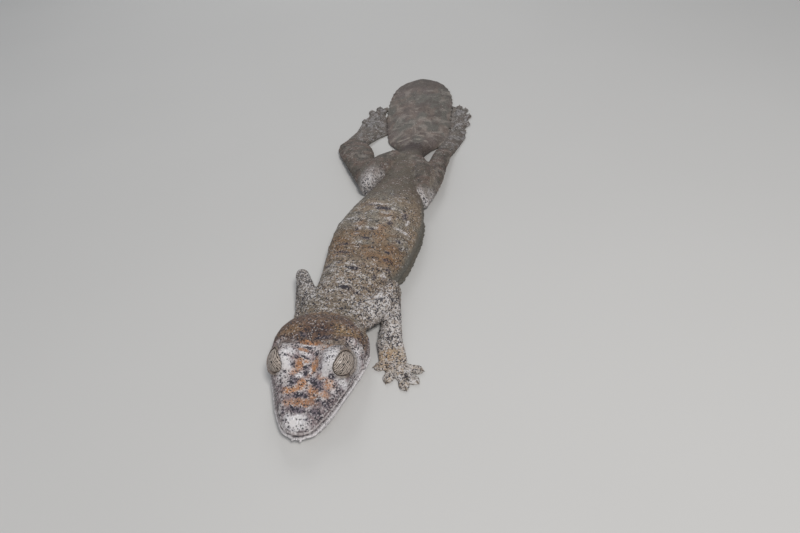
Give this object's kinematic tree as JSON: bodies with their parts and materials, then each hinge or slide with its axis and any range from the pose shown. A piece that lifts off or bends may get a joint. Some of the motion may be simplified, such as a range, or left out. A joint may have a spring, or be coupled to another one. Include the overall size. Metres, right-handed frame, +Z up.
{
  "type": "mossy leaf-tailed gecko model",
  "caption": "Still life-size gecko lying flat: triangular head, bulging rimmed eyes, scalloped flanks, webbed toes with pads and a broad leaf-shaped tail.",
  "frame": {"origin": "middle of the model's box at floor level", "axes": "+Z up; +Y from the head towards the tail; +X to the animal's left, so the head points along -Y"},
  "size_m": [0.0586, 0.1884, 0.0136],
  "materials": {
    "head": "matte scaly skin, brown, orange and white with black speckle",
    "jaw": "matte scaly skin, pale mauve grey with black speckle",
    "trunk": "matte granular skin, grey, tan and white with black bars",
    "limb": "matte granular skin, pale grey with black speckle",
    "tail": "matte granular skin, mauve grey brown",
    "eye": "glossy beige grey eye with fine wavy brown lines"
  },
  "bodies": {
    "root": {"abdomen": "trunk", "chest": "trunk", "eye_left": "eye", "eye_right": "eye", "foot_left": "limb", "foot_right": "limb", "forearm_left": "limb", "forearm_right": "limb", "hand_left": "limb", "hand_right": "limb", "head": "head", "lower_jaw": "jaw", "neck": "trunk", "pelvis": "trunk", "shank_left": "limb", "shank_right": "limb", "tail_base": "tail", "tail_leaf": "tail", "thigh_left": "limb", "thigh_right": "limb", "upper_arm_left": "limb", "upper_arm_right": "limb"}
  },
  "joints": []
}
